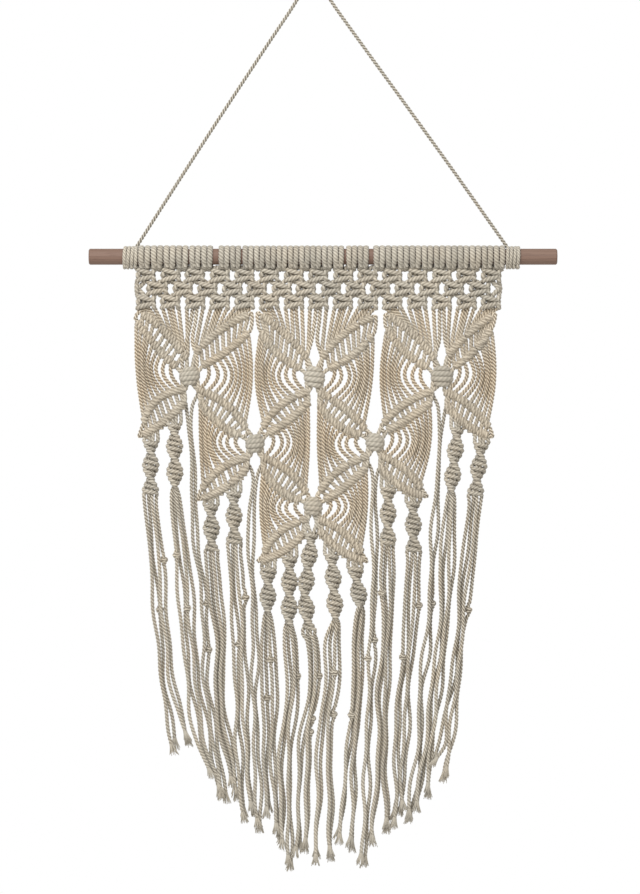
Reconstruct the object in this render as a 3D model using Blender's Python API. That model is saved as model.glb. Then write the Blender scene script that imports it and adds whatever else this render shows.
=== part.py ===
"""A macrame wall hanging: cotton cord knotted onto a wooden rod, which hangs by a cord from a hook.

World units are metres, with +Z up and the front facing -Y. The origin is where the hanging cord
bears on its hook. The tables and the sizes below are in millimetres.
"""

import math
from collections import namedtuple

import bmesh
import bpy
from mathutils import Vector

MM = 0.001
GAP = 0.3  # the clearance between two pieces that touch
SHARP_FROM = math.radians(50)  # the angle from which an edge is drawn sharp

# Driving dimensions.
CORD = 3.0  # the cord's diameter
ROD_RADIUS = 6.0
ROD_Z = -208.3
ROD_LEFT, ROD_RIGHT = -168.0, 183.0
ROD_END_ROUNDING = 0.8
ROD_SIDES = 20

HEADING_LEFT, HEADING_RIGHT = -143.0, 155.5
HEADING_RADIUS = 8.6
HEADING_KNOTS = 31
HEADING_SIDES = 8
HEADING_GROOVE = 1.2  # the depth of the groove between two knots
THIN_WALL = 0.8  # what is left of the sleeve where the wood shows
HEADING_GAPS = (-73.0, 43.5)  # where the wood shows between two knots

BAND_LEFT, BAND_RIGHT = -133.0, 141.5
BAND_TOP, BAND_BOTTOM = -217.3, -247.3
BAND_ROWS, BAND_KNOTS = 3, 15
KNOT_HALF_DEPTH = 4.0
BETWEEN_KNOTS_HALF_DEPTH = 1.6

ROW_RADIUS = 3.1  # half the thickness of a row of hitches
LEAF_STEPS = 5  # straight stretches that a row is drawn with
LEAF_EDGE_HALF_DEPTH = 0.9
BARE_HALF_DEPTH = 1.3  # between the two rows, where the cords are bare
WEB_HALF_DEPTH = CORD / 2
WEB_STEPS = 4
TOP_WEB_COLUMNS = 5
TOP_WEB_REACH = 0.84  # the share of a leaf's upper row that the plain cords come down to
CENTRE_HALF_DEPTH = 5.5
CENTRE_SIDES = 10
CENTRE_BANDS = (-0.92, -0.6, 0.0, 0.6, 0.92)  # where its outline is drawn, in half heights

SINNET_HALF_WIDTH, SINNET_HALF_DEPTH = 5.4, 3.2
SINNET_HALF_TURN = 19.0  # the height in which a spiral of half knots turns halfway
SINNET_STEP = 6.3
SINNET_SIDES = 6
NECK_HALF_DEPTH = 1.5
NECK_SLACK = 0.9  # below the chords with which a leaf's lower edge is drawn
# The neck of a spiral below a leaf, and of the middle one, which starts at a centre knot.
LEAF_NECK_HALF_WIDTH, LEAF_NECK = 5.6, 1.0
MIDDLE_NECK_HALF_WIDTH, MIDDLE_NECK_STRAIGHT, MIDDLE_NECK = 2.0, 16.0, 20.0
STRAND_LANE = 1.95  # how far the front strands hang before the back ones, from the middle
STRAND_RADIUS = 1.6
SLOTS = (-1, -1 / 3, 1 / 3, 1)  # how the four strands of a bunch lie, from left to right
FOOT_SLOT = 2.6  # how far the outer strands leave a spiral from its middle
FOOT_OVERLAP = 3.0  # how far up a spiral its loose strands are rooted
TIP_STEP = 6.0  # how much lower the inner tips hang than the outer ones
SHORT_OF_KNEE = 15.0  # a strand that ends less than this below KNEE_Z doesn't bend there

HANGER_STEP = 9.0
# The hanging cord, from the top of the heading on the left, over the hook, to the right.
HANGER_ROUTE = (
    (-131.0, -199.0),
    (-98.8, -148.4),
    (-66.6, -98.6),
    (-34.4, -49.6),
    (-12.6, -16.6),
    (-6.6, -5.4),
    (0.0, 1.5),
    (6.8, -5.0),
    (13.6, -16.6),
    (36.9, -49.4),
    (72.6, -98.6),
    (108.6, -148.6),
    (144.6, -199.0),
)

Flower = namedtuple("Flower", "name x z half_width half_height")
FLOWERS = (
    Flower("centre_knot_1", -92.6, -297.8, 7.6, 6.2),
    Flower("centre_knot_2", 1.0, -298.5, 7.8, 7.2),
    Flower("centre_knot_3", 96.8, -298.1, 8.4, 7.2),
    Flower("centre_knot_4", -43.5, -348.4, 7.0, 6.2),
    Flower("centre_knot_5", 46.5, -347.4, 7.0, 6.0),
    Flower("centre_knot_6", 0.0, -395.2, 7.0, 6.2),
)

# Each leaf has an upper and a lower row of hitches. A row runs from its root at a centre knot
# to its tip, and rises from that straight line by rise at its middle.
Row = namedtuple("Row", "root_x root_z tip_x tip_z rise")
LEAVES = {
    "leaf_1_upper_left": (Row(-95, -284.5, -127.5, -251, 2.2), Row(-103, -290.5, -131.5, -257, -1.5)),
    "leaf_1_upper_right": (Row(-87.5, -280, -49, -252, 2.7), Row(-82.5, -290, -49, -265.5, -1.6)),
    "leaf_2_upper_left": (Row(-4.5, -284, -39, -252, 1.8), Row(-9.5, -292.5, -39, -264.5, -3.2)),
    "leaf_2_upper_right": (Row(7.5, -283.5, 44, -254, 3.5), Row(11.5, -292.5, 44, -268, -2.7)),
    "leaf_3_upper_left": (Row(91, -284.5, 57, -253, 2.4), Row(86, -291.5, 56, -263, -3.0)),
    "leaf_3_upper_right": (Row(101, -283, 134, -253, 1.8), Row(106, -291, 133, -263.5, -2.1)),
    "leaf_1_lower_left": (Row(-96, -308, -127, -332.5, 6.8), Row(-96, -316.5, -127.5, -342, -2.0)),
    "leaf_1_lower_right": (Row(-86.5, -308, -50.5, -336.5, 4.4), Row(-84.5, -316.5, -54.5, -342.5, -3.4)),
    "leaf_2_lower_left": (Row(-3.5, -309.5, -37.5, -336, 4.6), Row(-3.5, -317.5, -33.5, -340.5, -1.6)),
    "leaf_2_lower_right": (Row(4.5, -310, 39, -337.5, 2.6), Row(4.5, -318.5, 36, -342, -4.2)),
    "leaf_3_lower_left": (Row(89, -309, 53, -333, 3.0), Row(88, -317.5, 56, -338.5, -1.2)),
    "leaf_3_lower_right": (Row(99, -309.5, 131.5, -335.5, 3.3), Row(100, -319.5, 131.5, -342.5, -3.0)),
    "leaf_4_lower_left": (Row(-48, -358.5, -83, -382, 4.4), Row(-49.5, -366, -83, -389.5, -3.2)),
    "leaf_4_lower_right": (Row(-38.5, -358.5, -5, -385, 3.9), Row(-37.5, -367.5, -9.5, -391, -3.8)),
    "leaf_5_lower_left": (Row(41, -358, 5, -384.5, 4.2), Row(40, -366, 9.5, -390.5, -1.4)),
    "leaf_5_lower_right": (Row(50.5, -357.5, 81, -381.5, 3.3), Row(50.5, -365.5, 82.5, -387.5, -3.7)),
    "leaf_6_lower_left": (Row(-5, -405.5, -37, -430.5, 5.0), Row(-5.5, -413.5, -38.5, -436, -3.4)),
    "leaf_6_lower_right": (Row(5, -405.5, 36.5, -430.5, 3.6), Row(5, -413.5, 37.5, -436, -3.4)),
}

# Plain cords side by side, from the knotted band down to the upper row of a leaf. The inner
# cord hangs next to the flower's middle.
Top = namedtuple("Top", "name leaf inner_x outer_x")
TOP_WEBS = (
    Top("web_1_top_left", "leaf_1_upper_left", -94.6, -132.0),
    Top("web_1_top_right", "leaf_1_upper_right", -89.4, -46.6),
    Top("web_2_top_left", "leaf_2_upper_left", -1.6, -42.4),
    Top("web_2_top_right", "leaf_2_upper_right", 3.6, 47.4),
    Top("web_3_top_left", "leaf_3_upper_left", 94.0, 53.8),
    Top("web_3_top_right", "leaf_3_upper_right", 99.0, 139.0),
)

# Plain cords between the lower row of one leaf and the upper row of the leaf below it. They
# bow outward round the centre knot: the nearest by inner_bow and the furthest by outer_bow.
# turned says that the upper leaf's tip, not its root, is at that knot.
Web = namedtuple("Web", "name upper lower turned inner_bow outer_bow")
WEBS = (
    Web("web_1_left", "leaf_1_upper_left", "leaf_1_lower_left", False, 5.5, 1.5),
    Web("web_1_right", "leaf_1_upper_right", "leaf_1_lower_right", False, 6.0, 0.5),
    Web("web_2_left", "leaf_2_upper_left", "leaf_2_lower_left", False, 6.0, 0.5),
    Web("web_2_right", "leaf_2_upper_right", "leaf_2_lower_right", False, 6.0, 1.0),
    Web("web_3_left", "leaf_3_upper_left", "leaf_3_lower_left", False, 6.0, -1.0),
    Web("web_3_right", "leaf_3_upper_right", "leaf_3_lower_right", False, 6.0, 1.0),
    Web("web_4_left", "leaf_1_lower_right", "leaf_4_lower_left", True, 6.0, 0.0),
    Web("web_4_right", "leaf_2_lower_left", "leaf_4_lower_right", True, 6.0, 0.5),
    Web("web_5_left", "leaf_2_lower_right", "leaf_5_lower_left", True, 6.0, 0.5),
    Web("web_5_right", "leaf_3_lower_left", "leaf_5_lower_right", True, 6.0, 0.5),
    Web("web_6_left", "leaf_4_lower_right", "leaf_6_lower_left", True, 6.0, 1.5),
    Web("web_6_right", "leaf_5_lower_left", "leaf_6_lower_right", True, 6.0, 1.5),
)

# Four strands knotted into a spiral below a leaf, and then hanging loose. The spiral goes from
# top_x down to foot_x and foot_z. mid_x, low_x and knee_x are where the middle of the strands
# hangs at MID_Z, LOW_Z and KNEE_Z, and the tips are those of the left and the right two.
MID_Z, LOW_Z, KNEE_Z = -496.0, -533.0, -572.0
Bunch = namedtuple(
    "Bunch", "name leaf top_x foot_x foot_z spread mid_x low_x knee_x tip_x tip_z tip2_x tip2_z"
)
BUNCHES = (
    Bunch(
        "sinnet_01", "leaf_1_lower_left", -121.5, -122.0, -387, 4.6, -112.0, -108.5, -102,
        -104, -579, -95, -573,
    ),
    Bunch(
        "sinnet_02", "leaf_1_lower_left", -104.0, -103.5, -380, 4.8, -92.5, -89.5, -82,
        -77, -597, -72, -612,
    ),
    Bunch(
        "sinnet_03", "leaf_4_lower_left", -76.5, -76.0, -429, 3.0, -70.0, -70.0, -65,
        -62, -603, -59, -614,
    ),
    Bunch(
        "sinnet_04", "leaf_4_lower_left", -59.5, -59.0, -424, 4.4, -55.0, -54.0, -53,
        -52, -630, -47, -626,
    ),
    Bunch(
        "sinnet_05", "leaf_6_lower_left", -33.5, -34.0, -474, 4.8, -33.5, -32.5, -33,
        -33, -626, -28, -642,
    ),
    Bunch(
        "sinnet_06", "leaf_6_lower_left", -17.5, -18.0, -484, 4.2, -17.0, -15.5, -20,
        -23, -650, -18, -666,
    ),
    Bunch(
        "sinnet_07", None, -0.8, -3.0, -488, 3.6, -1.0, 0.5, -6,
        -11, -656, -5, -653,
    ),
    Bunch(
        "sinnet_08", "leaf_6_lower_right", 14.0, 17.0, -479, 5.0, 14.5, 13.5, 9,
        3, -661, 13, -659,
    ),
    Bunch(
        "sinnet_09", "leaf_6_lower_right", 31.5, 35.5, -470, 3.2, 34.0, 32.5, 30,
        20, -646, 28, -652,
    ),
    Bunch(
        "sinnet_10", "leaf_5_lower_right", 56.5, 56.0, -425, 3.4, 55.5, 52.5, 52,
        46, -647, 54, -638,
    ),
    Bunch(
        "sinnet_11", "leaf_5_lower_right", 75.0, 75.5, -430, 4.4, 72.5, 68.0, 66.5,
        62, -634, 66, -625,
    ),
    Bunch(
        "sinnet_12", "leaf_3_lower_right", 108.5, 103.5, -384, 3.3, 97.0, 92.0, 87.0,
        79, -622, 86, -612,
    ),
    Bunch(
        "sinnet_13", "leaf_3_lower_right", 126.5, 121.5, -388, 3.2, 110.0, 105.5, 101.5,
        93, -589, 99, -600,
    ),
)
KINK_NAME, KINK_X, KINK_Z = "sinnet_07", -6.2, -462.0  # the one spiral that hangs crooked

# Two plain strands that hang from a centre knot.
HIGH_Z = -405.0
PAIR_APART = 0.9  # how far each of the two hangs from their middle
Pair = namedtuple("Pair", "high_x mid_x low_x knee_x tip_x tip_z")
PAIRS = {
    "centre_knot_1": Pair(-88.5, -80.0, -79.5, -73.5, -66.5, -608),
    "centre_knot_3": Pair(91.5, 86.0, 81.0, 80.0, 73.0, -623),
    "centre_knot_4": Pair(-46.5, -43.5, -43.5, -43.0, -40.0, -630),
    "centre_knot_5": Pair(46.0, 45.0, 42.5, 41.5, 38.0, -656),
}


def material(name, colour, roughness):
    """A plain finish with one colour."""
    made = bpy.data.materials.new(name)
    made.use_nodes = True
    shader = made.node_tree.nodes["Principled BSDF"]
    shader.inputs["Base Color"].default_value = (*colour, 1)
    shader.inputs["Roughness"].default_value = roughness
    shader.inputs["Metallic"].default_value = 0
    return made


def add_mesh(name, bm, finish):
    """Makes a closed bmesh, whose points are in millimetres, into an object in metres."""
    bmesh.ops.scale(bm, vec=(MM, MM, MM), verts=bm.verts)
    bmesh.ops.recalc_face_normals(bm, faces=bm.faces)
    mesh = bpy.data.meshes.new(name)
    bm.to_mesh(mesh)
    bm.free()
    mesh.materials.append(finish)
    mesh.shade_smooth()
    mesh.set_sharp_from_angle(angle=SHARP_FROM)
    made = bpy.data.objects.new(name, mesh)
    bpy.context.collection.objects.link(made)
    return made


def slab(name, lines, finish):
    """A flat-hanging sheet with a front and a back. lines is a grid of (x, z, half depth)."""
    bm = bmesh.new()
    front = [[bm.verts.new((x, -depth, z)) for x, z, depth in line] for line in lines]
    back = [[bm.verts.new((x, depth, z)) for x, z, depth in line] for line in lines]
    for upper, lower in ((front[i], front[i + 1]) for i in range(len(lines) - 1)):
        for j in range(len(upper) - 1):
            bm.faces.new((upper[j], lower[j], lower[j + 1], upper[j + 1]))
    for upper, lower in ((back[i], back[i + 1]) for i in range(len(lines) - 1)):
        for j in range(len(upper) - 1):
            bm.faces.new((upper[j + 1], lower[j + 1], lower[j], upper[j]))
    rim = [*front[0], *(line[-1] for line in front[1:])]
    rim += [*reversed(front[-1][:-1]), *(line[0] for line in reversed(front[1:-1]))]
    rim_back = [*back[0], *(line[-1] for line in back[1:])]
    rim_back += [*reversed(back[-1][:-1]), *(line[0] for line in reversed(back[1:-1]))]
    for i in range(len(rim)):
        after = (i + 1) % len(rim)
        bm.faces.new((rim[i], rim[after], rim_back[after], rim_back[i]))
    return add_mesh(name, bm, finish)


def add_loft(bm, rings):
    """Adds a closed skin over a row of rings that all have the same number of points."""
    loops = [[bm.verts.new(point) for point in ring] for ring in rings]
    count = len(loops[0])
    for a, b in zip(loops, loops[1:]):
        for i in range(count):
            after = (i + 1) % count
            bm.faces.new((a[i], a[after], b[after], b[i]))
    bm.faces.new(reversed(loops[0]))
    bm.faces.new(loops[-1])


def smooth_route(points, step):
    """Points about step apart on a smooth curve through the given (x, z) points."""
    ends = [Vector(p) for p in points]
    ends = [2 * ends[0] - ends[1], *ends, 2 * ends[-1] - ends[-2]]
    route = []
    for before, start, end, after in zip(ends, ends[1:], ends[2:], ends[3:]):
        pieces = max(1, round((end - start).length / step))
        for i in range(pieces):
            t = i / pieces
            route.append(
                0.5
                * (
                    2 * start
                    + (end - before) * t
                    + (2 * before - 5 * start + 4 * end - after) * t * t
                    + (3 * start - before - 3 * end + after) * t**3
                )
            )
    return [*route, ends[-2]]


def on_row(row, t):
    """The point a share t along a row of hitches, and the upward unit vector across it."""
    along = Vector((row.tip_x - row.root_x, row.tip_z - row.root_z))
    across = Vector((-along.y, along.x)).normalized()
    if across.y < 0:
        across.negate()
    lift = 4 * row.rise * t * (1 - t)
    return Vector((row.root_x, row.root_z)) + along * t + across * lift, across


def beside_row(row, t, side):
    """The point just clear of a row of hitches, above it for side 1 and below it for -1."""
    point, across = on_row(row, t)
    return point + across * side * (ROW_RADIUS + GAP)


def under_leaf(leaf, x):
    """The height just below a leaf's lower row at x."""
    row = LEAVES[leaf][1]
    edge = sorted(tuple(beside_row(row, i / LEAF_STEPS, -1)) for i in range(LEAF_STEPS + 1))
    for (left_x, left_z), (right_x, right_z) in zip(edge, edge[1:]):
        if x <= right_x:
            break
    return left_z + (right_z - left_z) * (x - left_x) / (right_x - left_x)


# The rod is a plain turned dowel with its edges broken.
def build_rod(wood):
    bm = bmesh.new()
    bmesh.ops.create_cone(
        bm, cap_ends=True, segments=ROD_SIDES, radius1=ROD_RADIUS, radius2=ROD_RADIUS,
        depth=ROD_RIGHT - ROD_LEFT,
    )
    rims = [e for e in bm.edges if abs(e.verts[0].co.z - e.verts[1].co.z) < GAP]
    bmesh.ops.bevel(bm, geom=rims, offset=ROD_END_ROUNDING, segments=1, affect="EDGES")
    for v in bm.verts:
        along = v.co.z + (ROD_LEFT + ROD_RIGHT) / 2
        v.co = Vector((along, v.co.x, v.co.y + ROD_Z))
    add_mesh("rod", bm, wood)


# The heading is the row of larks' heads by which every cord is folded over the rod. It is a
# sleeve with a groove between each two knots, and a deeper one where the wood shows.
def build_heading(cotton):
    pitch = (HEADING_RIGHT - HEADING_LEFT) / HEADING_KNOTS
    bore = (ROD_RADIUS + GAP) / math.cos(math.pi / HEADING_SIDES)
    groove = HEADING_RADIUS - HEADING_GROOVE
    deep = bore + THIN_WALL

    def ring(x, radius):
        turn = 2 * math.pi / HEADING_SIDES
        return [
            (x, radius * math.cos(i * turn), ROD_Z + radius * math.sin(i * turn))
            for i in range(HEADING_SIDES)
        ]

    outline = []
    for knot in range(HEADING_KNOTS):
        x = HEADING_LEFT + knot * pitch
        bare = any(abs(x - gap) < pitch / 2 for gap in HEADING_GAPS)
        outline.append((x, deep if bare else groove))
        outline.append((x + pitch / 2, HEADING_RADIUS))
    outline.append((HEADING_RIGHT, groove))
    outline += [(HEADING_RIGHT, bore), (HEADING_LEFT, bore)]
    bm = bmesh.new()
    loops = [[bm.verts.new(point) for point in ring(x, radius)] for x, radius in outline]
    for a, b in zip(loops, [*loops[1:], loops[0]]):
        for i in range(HEADING_SIDES):
            after = (i + 1) % HEADING_SIDES
            bm.faces.new((a[i], a[after], b[after], b[i]))
    add_mesh("heading", bm, cotton)


# The hanging cord is tied round the rod at both ends and goes over the hook.
def build_hanger(cotton):
    curve = bpy.data.curves.new("hanger", "CURVE")
    curve.dimensions = "3D"
    curve.bevel_depth = CORD / 2 * MM
    curve.bevel_resolution = 2
    curve.use_fill_caps = True
    spline = curve.splines.new("POLY")
    route = smooth_route(HANGER_ROUTE, HANGER_STEP)
    spline.points.add(len(route) - 1)
    for point, (x, z) in zip(spline.points, route):
        point.co = (x * MM, 0, z * MM, 1)
    curve.materials.append(cotton)
    bpy.context.collection.objects.link(bpy.data.objects.new("hanger", curve))


# The band is three rows of square knots, each row set half a knot over from the last.
def build_band(cotton):
    columns, lines = 2 * BAND_KNOTS, 2 * BAND_ROWS
    grid = []
    for i in range(lines + 1):
        z = BAND_TOP + (BAND_BOTTOM - BAND_TOP) * i / lines
        line = []
        for j in range(columns + 1):
            x = BAND_LEFT + (BAND_RIGHT - BAND_LEFT) * j / columns
            row = min(i // 2, BAND_ROWS - 1)
            knot = i % 2 == 1 and j % 2 != row % 2
            line.append((x, z, KNOT_HALF_DEPTH if knot else BETWEEN_KNOTS_HALF_DEPTH))
        grid.append(line)
    slab("knot_band", grid, cotton)


# A leaf is two rows of hitches with the cords laid bare between them.
def build_leaf(name, upper, lower, cotton):
    grid = []
    for i in range(LEAF_STEPS + 1):
        t = i / LEAF_STEPS
        top, up = on_row(upper, t)
        low, down = on_row(lower, t)
        middle = (top + low) / 2
        places = (
            (top + up * ROW_RADIUS, LEAF_EDGE_HALF_DEPTH),
            (top, ROW_RADIUS),
            (middle, BARE_HALF_DEPTH),
            (low, ROW_RADIUS),
            (low - down * ROW_RADIUS, LEAF_EDGE_HALF_DEPTH),
        )
        grid.append([(place.x, place.y, depth) for place, depth in places])
    slab(name, grid, cotton)


def build_web(name, tops, feet, bows, steps, cotton):
    """A sheet of plain cords from the points in tops to those in feet, bowed by bows."""
    grid = []
    for i in range(steps + 1):
        t = i / steps
        line = []
        for top, foot, bow in zip(tops, feet, bows):
            place = top + (foot - top) * t
            line.append((place.x + bow * math.sin(math.pi * t), place.y, WEB_HALF_DEPTH))
        grid.append(line)
    slab(name, grid, cotton)


def build_top_web(top, cotton):
    tops, feet = [], []
    for i in range(TOP_WEB_COLUMNS):
        t = TOP_WEB_REACH * i / (TOP_WEB_COLUMNS - 1)
        x = top.inner_x + (top.outer_x - top.inner_x) * t
        tops.append(Vector((x, BAND_BOTTOM - GAP)))
        feet.append(beside_row(LEAVES[top.leaf][0], t, 1))
    build_web(top.name, tops, feet, [0.0] * TOP_WEB_COLUMNS, 1, cotton)


def build_middle_web(web, cotton):
    columns = LEAF_STEPS + 1
    upper, lower = LEAVES[web.upper][1], LEAVES[web.lower][0]
    outward = 1 if lower.tip_x > lower.root_x else -1
    tops, feet, bows = [], [], []
    for i in range(columns):
        t = i / (columns - 1)
        tops.append(beside_row(upper, 1 - t if web.turned else t, -1))
        feet.append(beside_row(lower, t, 1))
        bows.append(outward * (web.inner_bow + (web.outer_bow - web.inner_bow) * t))
    build_web(web.name, tops, feet, bows, WEB_STEPS, cotton)


def strand_rings(route, lane):
    """The rings of one loose strand, a four-sided tube along (x, z) points."""
    points = [Vector(point) for point in route]
    rings = []
    for i, point in enumerate(points):
        along = points[min(i + 1, len(points) - 1)] - points[max(i - 1, 0)]
        side = Vector((-along.y, along.x)).normalized() * STRAND_RADIUS
        rings.append((
            (point.x + side.x, lane, point.y + side.y),
            (point.x, lane - STRAND_RADIUS, point.y),
            (point.x - side.x, lane, point.y - side.y),
            (point.x, lane + STRAND_RADIUS, point.y),
        ))
    return rings


def hang_strands(piece, strands, cotton):
    """Joins loose strands, each a (route, lane), to the piece that they hang from."""
    bm = bmesh.new()
    for route, lane in strands:
        add_loft(bm, strand_rings(route, lane))
    loose = add_mesh(piece.name + "_strands", bm, cotton)
    loose.hide_render = True
    loose.display_type = "WIRE"
    union = piece.modifiers.new("strands", "BOOLEAN")
    union.operation = "UNION"
    union.solver = "EXACT"
    union.object = loose


# A centre knot is one big square knot. Two strands hang on from some of them.
def build_centre(flower, cotton):
    rings = []
    for height in CENTRE_BANDS:
        round_off = (1 - abs(height) ** 4) ** 0.5
        rings.append([
            (
                flower.x + flower.half_width * round_off * math.cos(2 * math.pi * i / CENTRE_SIDES),
                CENTRE_HALF_DEPTH * round_off * math.sin(2 * math.pi * i / CENTRE_SIDES),
                flower.z + flower.half_height * height,
            )
            for i in range(CENTRE_SIDES)
        ])
    bm = bmesh.new()
    add_loft(bm, rings)
    knot = add_mesh(flower.name, bm, cotton)
    pair = PAIRS.get(flower.name)
    if pair:
        strands = []
        for side in (-1, 1):
            apart = side * PAIR_APART
            route = [
                (flower.x + apart, flower.z - flower.half_height / 2),
                (pair.high_x + apart, HIGH_Z),
                (pair.mid_x + apart, MID_Z),
                (pair.low_x + apart, LOW_Z),
                (pair.knee_x + apart, KNEE_Z),
                (pair.tip_x + apart, pair.tip_z - apart),
            ]
            strands.append((route, side * STRAND_LANE))
        hang_strands(knot, strands, cotton)


def spiral_middle(bunch, top_z, z):
    """Where the middle of a spiral of half knots is at height z."""
    if bunch.name == KINK_NAME:
        if z > KINK_Z:
            t = (top_z - z) / (top_z - KINK_Z)
            return bunch.top_x + (KINK_X - bunch.top_x) * t
        t = (KINK_Z - z) / (KINK_Z - bunch.foot_z)
        return KINK_X + (bunch.foot_x - KINK_X) * t
    t = (top_z - z) / (top_z - bunch.foot_z)
    return bunch.top_x + (bunch.foot_x - bunch.top_x) * t


# A sinnet is a spiral of half knots, with its four strands loose below it.
def build_sinnet(bunch, cotton):
    last = FLOWERS[-1]
    if bunch.leaf:
        neck_half_width, straight, neck = LEAF_NECK_HALF_WIDTH, (0,), LEAF_NECK
    else:
        neck_half_width, straight, neck = MIDDLE_NECK_HALF_WIDTH, (0, MIDDLE_NECK_STRAIGHT), MIDDLE_NECK

    def start_z(x):
        if bunch.leaf:
            return under_leaf(bunch.leaf, x) - NECK_SLACK
        return last.z - last.half_height - GAP

    rings = []
    for drop in straight:
        ring = []
        for i in range(SINNET_SIDES):
            turn = 2 * math.pi * i / SINNET_SIDES
            x = bunch.top_x + neck_half_width * math.cos(turn)
            ring.append((x, NECK_HALF_DEPTH * math.sin(turn), start_z(x) - drop))
        rings.append(ring)
    top_z = min(z for _, _, z in rings[0]) - neck
    steps = round((top_z - bunch.foot_z) / SINNET_STEP)
    for step in range(steps + 1):
        z = top_z + (bunch.foot_z - top_z) * step / steps
        twist = math.pi * (top_z - z) / SINNET_HALF_TURN
        middle = spiral_middle(bunch, top_z, z)
        ring = []
        for i in range(SINNET_SIDES):
            turn = 2 * math.pi * i / SINNET_SIDES
            wide = SINNET_HALF_WIDTH * math.cos(turn)
            deep = SINNET_HALF_DEPTH * math.sin(turn)
            ring.append((
                middle + wide * math.cos(twist) - deep * math.sin(twist),
                wide * math.sin(twist) + deep * math.cos(twist),
                z,
            ))
        rings.append(ring)
    bm = bmesh.new()
    add_loft(bm, rings)
    spiral = add_mesh(bunch.name, bm, cotton)

    strands = []
    for strand, slot in enumerate(SLOTS):
        if slot < 0:
            tip = (bunch.tip_x + slot, bunch.tip_z + TIP_STEP * (slot + 1))
        else:
            tip = (bunch.tip2_x + slot, bunch.tip2_z + TIP_STEP * (1 - slot))
        route = [
            (bunch.foot_x + slot * FOOT_SLOT, bunch.foot_z + FOOT_OVERLAP),
            (bunch.mid_x + slot * bunch.spread, MID_Z),
            (bunch.low_x + slot * bunch.spread, LOW_Z),
        ]
        if tip[1] < KNEE_Z - SHORT_OF_KNEE:
            route.append((bunch.knee_x + slot * bunch.spread, KNEE_Z))
        route.append(tip)
        strands.append((route, STRAND_LANE if strand % 2 else -STRAND_LANE))
    hang_strands(spiral, strands, cotton)


def build():
    for old in list(bpy.data.objects):
        bpy.data.objects.remove(old)
    wood = material("wood", (0.33, 0.21, 0.16), 0.6)
    cotton = material("cotton_cord", (0.62, 0.55, 0.44), 0.9)
    build_rod(wood)
    build_heading(cotton)
    build_hanger(cotton)
    build_band(cotton)
    for name, (upper, lower) in LEAVES.items():
        build_leaf(name, upper, lower, cotton)
    for top in TOP_WEBS:
        build_top_web(top, cotton)
    for web in WEBS:
        build_middle_web(web, cotton)
    for flower in FLOWERS:
        build_centre(flower, cotton)
    for bunch in BUNCHES:
        build_sinnet(bunch, cotton)


build()
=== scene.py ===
"""The looks of a macrame wall hanging: twisted cotton cord knotted onto a wooden rod.

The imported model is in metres. The sizes and tables here are in millimetres, in the same frame:
+Z up, the front facing -Y, and the origin where the hanging cord bears on its hook.
"""

import math
from collections import namedtuple

import bpy
import numpy as np
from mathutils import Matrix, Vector


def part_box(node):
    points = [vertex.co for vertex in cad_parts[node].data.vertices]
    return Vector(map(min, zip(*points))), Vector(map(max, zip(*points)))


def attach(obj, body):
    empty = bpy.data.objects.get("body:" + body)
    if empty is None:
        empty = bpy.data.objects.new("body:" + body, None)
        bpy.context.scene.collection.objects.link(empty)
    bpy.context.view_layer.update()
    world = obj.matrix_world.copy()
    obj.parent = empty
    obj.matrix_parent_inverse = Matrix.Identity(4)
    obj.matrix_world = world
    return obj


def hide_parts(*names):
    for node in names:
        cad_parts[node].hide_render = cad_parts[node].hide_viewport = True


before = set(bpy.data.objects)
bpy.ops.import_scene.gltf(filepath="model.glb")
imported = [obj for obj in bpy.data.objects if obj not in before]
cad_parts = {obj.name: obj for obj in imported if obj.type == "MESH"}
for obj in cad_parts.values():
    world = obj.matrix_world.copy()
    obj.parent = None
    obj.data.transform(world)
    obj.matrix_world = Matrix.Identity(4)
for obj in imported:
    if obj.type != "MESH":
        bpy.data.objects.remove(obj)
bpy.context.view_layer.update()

MM = 0.001

# ---- The camera ----
# It stands straight in front of the hanging and level with its middle, far enough away that
# the rod and the fringe are seen without any slant.
CAMERA_X, CAMERA_Z = 5.25, -351.0
CAMERA_DISTANCE = 2400.0
VIEW_HEIGHT = 670.5
SENSOR = 36.0

camera = bpy.data.objects.new("camera", bpy.data.cameras.new("camera"))
camera.data.sensor_width = SENSOR
camera.data.lens = SENSOR * CAMERA_DISTANCE / VIEW_HEIGHT
camera.location = Vector((CAMERA_X, -CAMERA_DISTANCE, CAMERA_Z)) * MM
camera.rotation_euler = (math.pi / 2, 0, 0)
bpy.context.collection.objects.link(camera)
bpy.context.scene.camera = camera

# ---- The studio ----
# A plain pale floor well below the fringe, a white room, and one big soft lamp above and in
# front, which leaves the hollows between the cords dark.
FLOOR_Z = -1000.0
FLOOR_HALF_SIZE = 1900.0
FLOOR_COLOUR = (0.8, 0.8, 0.79, 1)
FLOOR_ROUGHNESS = 0.9
ROOM_SEEN, ROOM_LIGHT = 1.0, 0.7
ROOM_SEEN_COLOUR, ROOM_LIGHT_COLOUR = (1, 1, 1, 1), (1.0, 0.98, 0.95, 1)
LAMP_PLACE = (-500.0, -1500.0, 900.0)
LAMP_SIZE = 900.0
LAMP_POWER = 33.0

floor_mesh = bpy.data.meshes.new("floor")
floor_mesh.from_pydata(
    [(x * FLOOR_HALF_SIZE * MM, y * FLOOR_HALF_SIZE * MM, FLOOR_Z * MM)
     for x, y in ((-1, -1), (1, -1), (1, 1), (-1, 1))],
    [], [(0, 1, 2, 3)],
)
floor_paint = bpy.data.materials.new("floor_paint")
floor_paint.use_nodes = True
floor_shader = floor_paint.node_tree.nodes["Principled BSDF"]
floor_shader.inputs["Base Color"].default_value = FLOOR_COLOUR
floor_shader.inputs["Roughness"].default_value = FLOOR_ROUGHNESS
floor_mesh.materials.append(floor_paint)
floor = bpy.data.objects.new("floor", floor_mesh)
bpy.context.collection.objects.link(floor)

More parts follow.
